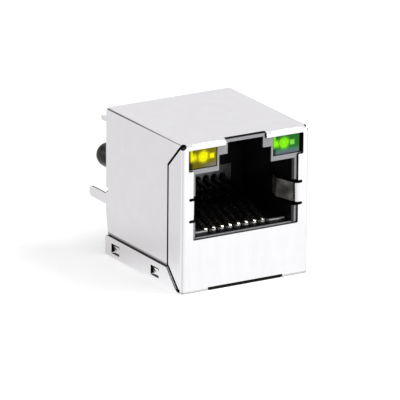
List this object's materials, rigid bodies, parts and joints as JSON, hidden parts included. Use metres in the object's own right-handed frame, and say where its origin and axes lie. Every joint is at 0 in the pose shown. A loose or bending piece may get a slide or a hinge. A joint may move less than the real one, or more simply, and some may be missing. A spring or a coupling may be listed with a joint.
{
  "type": "shielded vertical rj45 board jack with two leds",
  "caption": "Vertical shielded modular jack for a circuit board: folded sheet shield round a black housing with plug port, sprung contacts, indicator LEDs, board pegs and solder tails.",
  "frame": {"origin": "midway between the two board pegs, on the face of the board", "axes": "+Y along the pegs and solder tails, into the board; the port opens towards -Y; +Z towards the latch side of the port; +X to the right of someone facing the port"},
  "size_m": [0.0162, 0.0198, 0.0165],
  "materials": {
    "nickel_plated_sheet": "bright nickel plate on thin copper alloy sheet",
    "black_pbt": "fine moulded texture",
    "black_lcp": "moulded",
    "gold_plated_bronze": "gold plated contact strip",
    "tinned_steel": "tinned LED lead frame",
    "yellow_epoxy": "tinted clear epoxy",
    "green_epoxy": "tinted clear epoxy",
    "yellow_chip": "light emitting chip",
    "green_chip": "light emitting chip"
  },
  "bodies": {
    "root": {"shield_shell": "nickel_plated_sheet", "bottom_cover": "nickel_plated_sheet", "port_housing": "black_pbt", "contact_carrier": "black_lcp", "contact_1": "gold_plated_bronze", "contact_2": "gold_plated_bronze", "contact_3": "gold_plated_bronze", "contact_4": "gold_plated_bronze", "contact_5": "gold_plated_bronze", "contact_6": "gold_plated_bronze", "contact_7": "gold_plated_bronze", "contact_8": "gold_plated_bronze", "yellow_led_lens": "yellow_epoxy", "yellow_led_cathode": "tinned_steel", "yellow_led_anode": "tinned_steel", "yellow_led_chip": "yellow_chip", "green_led_lens": "green_epoxy", "green_led_cathode": "tinned_steel", "green_led_anode": "tinned_steel", "green_led_chip": "green_chip"}
  },
  "joints": []
}
